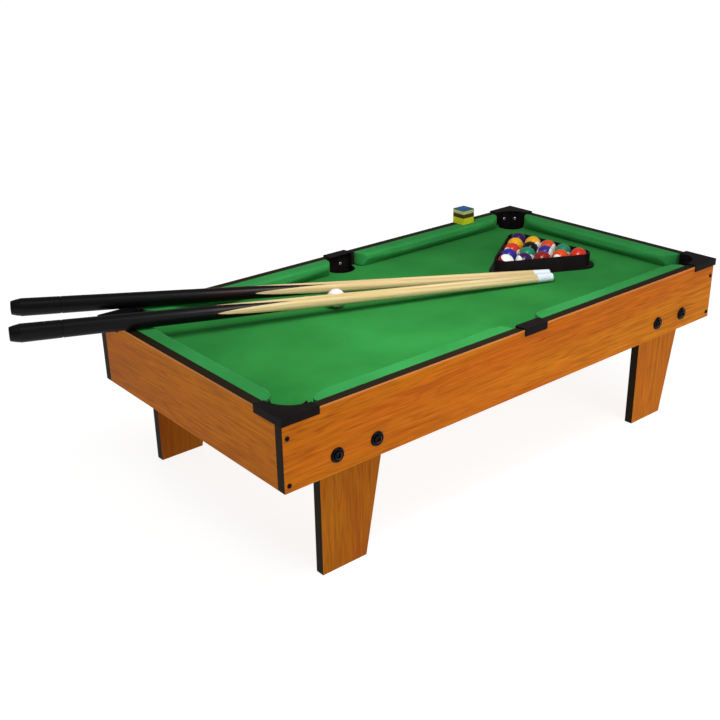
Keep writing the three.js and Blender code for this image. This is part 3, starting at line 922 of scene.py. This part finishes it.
# Each ball's number and colour, and how it lies: which way its white end or its number points,
# as (right, up, towards the viewer). Numbers over 8 are striped.
RACKED = {
    "ball_1": (4, PURPLE, (-0.3, -0.9, -0.2)),
    "ball_2": (1, YELLOW, (0.1, -0.9, -0.3)),
    "ball_3": (11, RED, (-0.68, -0.45, 0.58)),
    "ball_4": (2, BLUE, (0.3, -0.9, -0.3)),
    "ball_5": (15, MAROON, (0.25, 0.65, 0.70)),
    "ball_6": (9, YELLOW, (0.45, -0.60, 0.65)),
    "ball_7": (8, BLACK, (0.2, -0.9, -0.2)),
    "ball_8": (14, GREEN, (0.10, -0.75, 0.65)),
    "ball_9": (12, PURPLE, (-0.90, -0.15, 0.40)),
    "ball_10": (13, ORANGE, (0.80, -0.35, 0.48)),
    "ball_11": (10, BLUE, (0.88, -0.15, 0.45)),
    "ball_12": (7, MAROON, (-0.62, -0.45, 0.62)),
    "ball_13": (6, GREEN, (0.35, -0.45, 0.80)),
    "ball_14": (5, ORANGE, (-0.60, -0.05, 0.75)),
    "ball_15": (3, RED, (0.1, -0.95, -0.1)),
}
SPOT_ANGLE = 24              # half the angle that a number's white spot takes
STRIPE_EDGE = 0.66           # how far up a striped ball, from its middle, the white begins
ONE_DIGIT, TWO_DIGITS = 0.46, 0.36    # the numbers' sizes, as parts of the radius
INK_LIFT = 0.05 * MM


def resin(name, colour, striped):
    """A ball in its own frame. Striped balls are white at both Z ends and have number spots at both
    X ends; plain balls have one spot, towards +Z."""
    g = Graph(name).set(Coat_Weight=0.25, Coat_Roughness=0.05, Specular_IOR_Level=0.2)
    direction = g.node("VectorMath", {0: g.place()}, operation="NORMALIZE").outputs["Vector"]
    x, _, z = g.split(direction)
    cloud = g.noise(g.place(), 120.0, detail=2.0)
    white = g.ramp(cloud, 0.3, 0.7, BALL_WHITE)
    body = g.ramp(cloud, 0.3, 0.7, (shade(colour, 0.86), colour))
    if striped:
        body = g.mix(g.step(g.math("ABSOLUTE", z), STRIPE_EDGE, 0.012), body, white)
    towards_spot = g.math("ABSOLUTE", x) if striped else z
    spot = g.step(towards_spot, math.cos(math.radians(SPOT_ANGLE)), 0.003)
    g.feed("Base Color", g.mix(spot, body, white))
    g.feed("Roughness", g.ramp(g.noise(g.place(), 300.0, detail=2.0), 0.3, 0.8, (0.07, 0.16)))
    return g.material


def number_ink():
    g = Graph("ball_number_ink").set(Roughness=0.25)
    g.feed("Base Color", g.ramp(g.noise(g.place(), 2000.0, detail=2.0), 0.3, 0.8, NUMBER_INK))
    return g.material


def lie_direction(lie):
    """A direction on the table from its (right, up, towards) parts, seen from the camera's side."""
    turn = look_along(CAMERA_AZIMUTH, CAMERA_ELEVATION).to_3x3()
    return (turn @ Vector(lie)).normalized()


def flat_number(number, size):
    font = bpy.data.curves.new("number", "FONT")
    font.body = str(number)
    font.size = size
    font.align_x = "CENTER"
    font.align_y = "CENTER"
    text = add_object("number", font)
    flat = evaluated_mesh(text)
    bpy.data.objects.remove(text)
    return flat


def number_skin(number, radius, centre_direction):
    """The number as ink on the ball, centred on a direction, as a thin curved skin."""
    flat = flat_number(number, radius * (ONE_DIGIT if number < 10 else TWO_DIGITS))
    bm = bmesh.new()
    bm.from_mesh(flat)
    bpy.data.meshes.remove(flat)
    bmesh.ops.triangulate(bm, faces=bm.faces)
    bmesh.ops.subdivide_edges(bm, edges=bm.edges, cuts=2, use_grid_fill=True)
    turn = centre_direction.to_track_quat("Z", "Y").to_matrix()
    for vertex in bm.verts:
        on_ball = turn @ Vector((vertex.co.x, vertex.co.y, radius))
        vertex.co = on_ball.normalized() * (radius + INK_LIFT)
    for face in bm.faces:
        face.material_index = 1
    return bm


def ball_mesh(name, radius, number, striped):
    bm = bmesh.new()
    bmesh.ops.create_icosphere(bm, subdivisions=5, radius=radius)
    if number:
        spots = (Vector((1, 0, 0)), Vector((-1, 0, 0))) if striped else (Vector((0, 0, 1)),)
        for spot in spots:
            absorb(bm, number_skin(number, radius, spot))
    mesh = bpy.data.meshes.new(name)
    bm.to_mesh(mesh)
    bm.free()
    smooth(mesh)
    return mesh


def add_ball(node, number, colour, lie, ink):
    low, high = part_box(node)
    radius = (high.z - low.z) / 2
    striped = number > 8
    material = resin(node + "_resin", colour, striped)
    mesh = ball_mesh(node + "_polished", radius, number, striped)
    place = facing((low + high) / 2, lie_direction(lie))
    piece = new_piece(node + "_polished", mesh, node, [material, ink], place)
    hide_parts(node)


def make_balls():
    ink = number_ink()
    for node, (number, colour, lie) in RACKED.items():
        add_ball(node, number, colour, lie, ink)
    add_ball("cue_ball", 0, CUE_BALL_WHITE, (0, 1, 0), ink)


# ---------------------------------------------------------------- cues

CUE_LENGTH = 740 * MM
TIP_RADIUS = 6.2 * MM
SHAFT_LENGTH = 300 * MM
SHAFT_RADIUS = 7.6 * MM
SHAFT_STEPS = 25
BUMPER_LENGTH = 12 * MM
BUMPER_STEPS = 6
BUMPER_CURVE = 1.4
BUTT_RADIUS = 11.5 * MM
BUMPER_END_RADIUS = 8.9 * MM
BUMPER_ROUND = 1.6 * MM
BUMPER_ROUND_STEPS = 4
SHOULDER = CUE_LENGTH - BUMPER_LENGTH
GROOVE = 0.5 * MM
RING = CUE_LENGTH - 62 * MM     # a turned groove near the butt's end
WRAP = CUE_LENGTH - 245 * MM    # from here to the end the butt is black
FERRULE = 27 * MM
TIP_HEIGHT = 2 * MM
SPLICE_LENGTH = 100 * MM
CUE_POINTS = (("front_cue", 489 * MM), ("rear_cue", 430 * MM))   # the visible pale point, from the tip
POINT_FACING = (0.0, -0.25, 0.97)    # the way it faces, as (right, up, towards the viewer)


def cue_axis(node):
    """The tip and butt ends of a cue's axis, from its CAD solid."""
    points = [v.co.copy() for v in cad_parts[node].data.vertices]
    tip_end = max(points, key=lambda p: p.x)
    butt_end = min(points, key=lambda p: p.x)
    rough = (butt_end - tip_end).normalized()
    along = [p.dot(rough) for p in points]
    first = [p for p, a in zip(points, along) if a < min(along) + 1.0 * MM]
    last = [p for p, a in zip(points, along) if a > max(along) - 1.0 * MM]
    return sum(first, Vector()) / len(first), sum(last, Vector()) / len(last)


def past_splice(g, x, y, z, point_from_tip):
    """0 on the shaft and 1 on the butt, which meet in four long points."""
    quarter = math.pi / 4
    angle = g.math("ADD", g.math("ARCTAN2", y, x), 2 * math.pi)
    wave = g.math("DIVIDE", g.math("PINGPONG", angle, quarter), quarter)
    reach = g.math("MULTIPLY", g.math("POWER", wave, 1.6), SPLICE_LENGTH)
    return g.step(g.math("ADD", z, reach), point_from_tip, 0.4 * MM)


def cue_material(name, point_from_tip):
    """Maple shaft, dark butt, black wrap and bumper, white ferrule and leather tip, by height."""
    g = Graph(name).set(Coat_Weight=0.04, Coat_Roughness=0.15, Specular_IOR_Level=0.10)
    x, y, z = g.split(g.place())
    grain = g.noise(g.stretched(stretch(2, 900.0, 14.0)), roughness=0.6)
    streak = g.noise(g.stretched(stretch(2, 260.0, 5.0)))
    maple = g.ramp(streak, 0.3, 0.68, MAPLE)
    maple = g.mix(0.22, maple, g.ramp(grain, 0.3, 0.7, (0.3, 0.75)), "OVERLAY")
    stain = g.ramp(streak, 0.3, 0.75, BUTT_STAIN)
    colour = g.mix(past_splice(g, x, y, z, point_from_tip), maple, stain)
    wrap = g.step(z, WRAP, 0.4 * MM)
    colour = g.mix(wrap, colour, BUTT_WRAP)
    for height, tones in ((FERRULE, FERRULE_WHITE), (TIP_HEIGHT, TIP_LEATHER)):
        below = g.math("SUBTRACT", 1.0, g.step(z, height, 0.2 * MM))
        colour = g.mix(below, colour, g.ramp(grain, 0.3, 0.7, tones))
    g.feed("Base Color", colour)
    smooth_lacquer = g.ramp(grain, 0.2, 0.8, (0.26, 0.38))
    g.feed("Roughness", g.mix(wrap, smooth_lacquer, g.ramp(grain, 0.2, 0.8, (0.36, 0.48))))
    g.bump(grain, strength=0.08, distance=0.03 * MM)
    return g.material


def cue_radius(z):
    """The shaft widens a little, and then the butt widens more."""
    if z < SHAFT_LENGTH:
        return TIP_RADIUS + (SHAFT_RADIUS - TIP_RADIUS) * z / SHAFT_LENGTH
    return SHAFT_RADIUS + (BUTT_RADIUS - SHAFT_RADIUS) * (z - SHAFT_LENGTH) / (SHOULDER - SHAFT_LENGTH)


def bumper_profile():
    """From a groove behind the butt's shoulder, in to a rounded end with a shallow dimple."""
    start = BUTT_RADIUS - GROOVE
    profile = [(start, SHOULDER + GROOVE)]
    for i in range(1, BUMPER_STEPS):
        part = i / BUMPER_STEPS
        z = SHOULDER + GROOVE + (BUMPER_LENGTH - BUMPER_ROUND - GROOVE) * part
        profile.append((start - (start - BUMPER_END_RADIUS) * part ** BUMPER_CURVE, z))
    for i in range(BUMPER_ROUND_STEPS + 1):
        a = math.pi / 2 * i / BUMPER_ROUND_STEPS
        profile.append((BUMPER_END_RADIUS - BUMPER_ROUND * (1 - math.cos(a)),
                        CUE_LENGTH - BUMPER_ROUND * (1 - math.sin(a))))
    dimple = CUE_LENGTH - 1.0 * MM
    return profile + [(2.6 * MM, CUE_LENGTH), (2.2 * MM, dimple), (0, dimple)]


def cue_mesh(name):
    profile = [(0, 0), (3.6 * MM, 0.15 * MM), (5.2 * MM, 0.8 * MM), (5.9 * MM, TIP_HEIGHT),
               (6.1 * MM, TIP_HEIGHT + 0.1 * MM), (cue_radius(FERRULE), FERRULE)]
    for i in range(1, SHAFT_STEPS):
        z = FERRULE + (RING - FERRULE) * i / SHAFT_STEPS
        profile.append((cue_radius(z), z))
    rim = cue_radius(RING)
    profile += [(rim, RING), (rim - GROOVE, RING + GROOVE), (rim - GROOVE, RING + 3 * GROOVE),
                (rim, RING + 4 * GROOVE), (BUTT_RADIUS, SHOULDER), *bumper_profile()]
    return mesh_of(turned(profile, segments=64), name, smooth_within=40)


def make_cues():
    facing_way = lie_direction(POINT_FACING)
    for node, point in CUE_POINTS:
        tip, butt = cue_axis(node)
        along = (butt - tip).normalized()
        across = (facing_way - along * facing_way.dot(along)).normalized()
        turn = Matrix((across, along.cross(across), along)).transposed().to_4x4()
        piece = new_piece(node + "_lacquered", cue_mesh(node), node, [cue_material(node + "_wood", point)],
                          Matrix.Translation(tip) @ turn)
        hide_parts(node)


# ---------------------------------------------------------------- chalk

CHALK_CUTS = 23
CHALK_HOLLOW = 1.6 * MM
CHALK_HOLLOW_REACH = 0.86    # as a part of half the cube's width
CHALK_ROUND = 0.35 * MM


def chalk_material(half):
    """Blue chalk on top; paper sides with dark, pale, dark and lime bands, and no print."""
    g = Graph("chalk_and_paper").set(Specular_IOR_Level=0.15)
    _, _, z = g.split(g.place())
    powder = g.noise(g.place(), 1400.0, detail=4.0, roughness=0.7)
    fleck = g.noise(g.place(), 260.0)
    blue = g.ramp(powder, 0.3, 0.75, CHALK_BLUE)
    paper = g.ramp(fleck, 0.3, 0.75, PAPER_LIME)
    for above, tones in ((-0.10, PAPER_DARK), (0.46, PAPER_PALE), (0.90, PAPER_DARK)):
        paper = g.mix(g.step(z, above * half, 0.02 * half), paper, g.ramp(fleck, 0.3, 0.75, tones))
    _, _, up = g.normal()
    g.feed("Base Color", g.mix(g.step(up, 0.5, 0.1), paper, blue))
    g.feed("Roughness", g.ramp(powder, 0.2, 0.8, (0.8, 0.98)))
    g.bump(powder, strength=0.4, distance=0.15 * MM)
    return g.material


def make_chalk():
    """A cube with rounded edges and a top hollowed by use."""
    low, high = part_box("chalk_cube")
    half = (high.x - low.x) / 2
    bm = bmesh.new()
    bmesh.ops.create_cube(bm, size=2 * half)
    bmesh.ops.subdivide_edges(bm, edges=bm.edges, cuts=CHALK_CUTS, use_grid_fill=True)
    for vertex in bm.verts:
        if vertex.co.z > half - TOLERANCE:
            reach = vertex.co.xy.length / (CHALK_HOLLOW_REACH * half)
            vertex.co.z -= CHALK_HOLLOW * max(0.0, 1 - reach * reach) ** 1.2
    mesh = mesh_of(bm, "chalk_cube_worn", smooth_within=60)
    place = Matrix.Translation((low + high) / 2)
    piece = new_piece("chalk_cube_worn", mesh, "chalk_cube", [chalk_material(half)], place)
    round_edges(piece, CHALK_ROUND, segments=2, sharper_than=60)
    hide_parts("chalk_cube")


# ---------------------------------------------------------------- floor


def make_floor():
    mesh = bpy.data.meshes.new("studio_floor")
    reach = FLOOR_REACH
    corners = [(-reach, -reach, 0), (reach, -reach, 0), (reach, reach, 0), (-reach, reach, 0)]
    mesh.from_pydata(corners, [], [(0, 1, 2, 3)])
    floor = add_object("studio_floor", mesh)
    g = Graph("pale_floor").set(Roughness=0.75, Specular_IOR_Level=0.2)
    g.set(Emission_Color=(1, 1, 1, 1), Emission_Strength=FLOOR_GLOW)
    g.feed("Base Color", g.ramp(g.noise(g.place(), 3.0, detail=2.0), 0.3, 0.7, FLOOR_GREY))
    mesh.materials.append(g.material)


# ---------------------------------------------------------------- the scene

make_camera()
make_lights()
make_floor()
make_woodwork()
make_mouldings()
make_rack()
make_fasteners()
make_cushions()
make_balls()
make_cues()
make_chalk()
